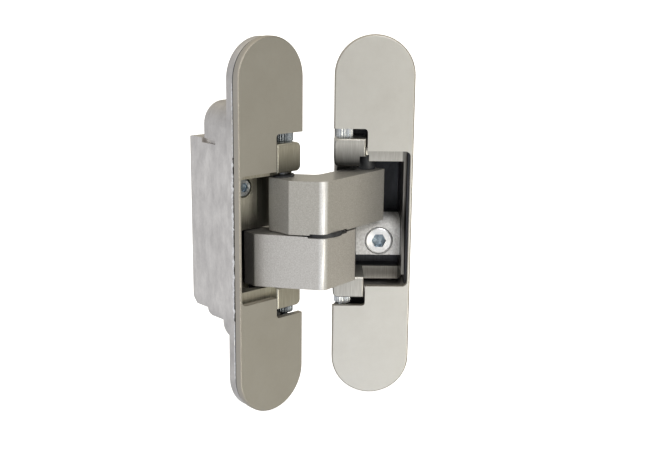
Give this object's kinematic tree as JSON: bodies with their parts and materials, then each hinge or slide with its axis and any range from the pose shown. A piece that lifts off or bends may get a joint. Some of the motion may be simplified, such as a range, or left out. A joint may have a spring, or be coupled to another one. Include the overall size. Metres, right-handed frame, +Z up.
{
  "type": "concealed hinge",
  "caption": "Concealed door hinge: slotted leaves with stadium covers, crossed folding arms on a centre pin, and height and side adjustment.",
  "frame": {"origin": "centre of the left leaf's two fixing screw holes, in the plane of its flange's back", "axes": "+Z up along the leaves, +X from the left leaf towards the knuckles, +Y into the wood behind the left leaf"},
  "size_m": [0.0674, 0.0415, 0.11],
  "materials": {
    "cast": "raw zinc die casting",
    "satin": "satin nickel plated zinc, very fine grain",
    "carriage": "satin nickel plated zinc die casting",
    "zinc": "bright zinc plated steel",
    "pin": "ground steel",
    "arm": "satin nickel plated zinc, fine sparkle",
    "bush": "dark acetal",
    "washer": "dark acetal"
  },
  "bodies": {
    "left_leaf": {"left_case": "cast", "left_cover": "satin"},
    "left_carriage": {"left_carriage": "carriage", "left_adjusting_screw": "zinc", "left_upper_height_screw": "zinc", "left_lower_height_screw": "zinc", "left_pivot_pin": "pin"},
    "upper_arm": {"upper_arm": "arm", "upper_pivot_bush": "bush", "centre_pin": "pin", "upper_slide_pin": "pin", "upper_slide_roller": "bush", "left_thrust_washer": "washer"},
    "lower_arm": {"lower_arm": "arm", "lower_pivot_bush": "bush", "centre_bush": "bush", "centre_washer": "washer", "lower_slide_pin": "pin", "lower_slide_roller": "bush", "right_thrust_washer": "washer"},
    "right_carriage": {"right_carriage": "carriage", "right_clamp_block": "cast", "right_clamp_screw": "zinc", "right_upper_height_screw": "zinc", "right_lower_height_screw": "zinc", "right_pivot_pin": "pin"},
    "right_leaf": {"right_case": "cast", "right_cover": "satin"}
  },
  "joints": [
    {"name": "left_height", "type": "slide", "parent": "left_leaf", "child": "left_carriage", "axis": [0, 0, 1], "range_m": [-0.0015, 0.0015]},
    {"name": "upper_arm_fold", "type": "hinge", "parent": "left_carriage", "child": "upper_arm", "pos_m": [0.00716, -0.0016, 0.007], "axis": [0, 0, 1], "range_deg": [-97.6, 29.7]},
    {"name": "lower_arm_fold", "type": "hinge", "parent": "upper_arm", "child": "lower_arm", "pos_m": [0.014, -0.0109, -0.0012], "axis": [0, 0, 1], "range_deg": [-18.6, 60.9]},
    {"name": "right_carriage_fold", "type": "hinge", "parent": "lower_arm", "child": "right_carriage", "pos_m": [0.0261, -0.00678, -0.009], "axis": [0, 0, 1], "range_deg": [-101.3, 30.9]},
    {"name": "right_side", "type": "slide", "parent": "right_carriage", "child": "right_leaf", "axis": [-0.6691, -0.7431, 0], "range_m": [-0.001, 0.001]}
  ],
  "couplings": [
    {"joint": "lower_arm_fold", "follows": "upper_arm_fold", "ratio": -0.62295},
    {"joint": "right_carriage_fold", "follows": "upper_arm_fold", "ratio": 1.0369}
  ]
}
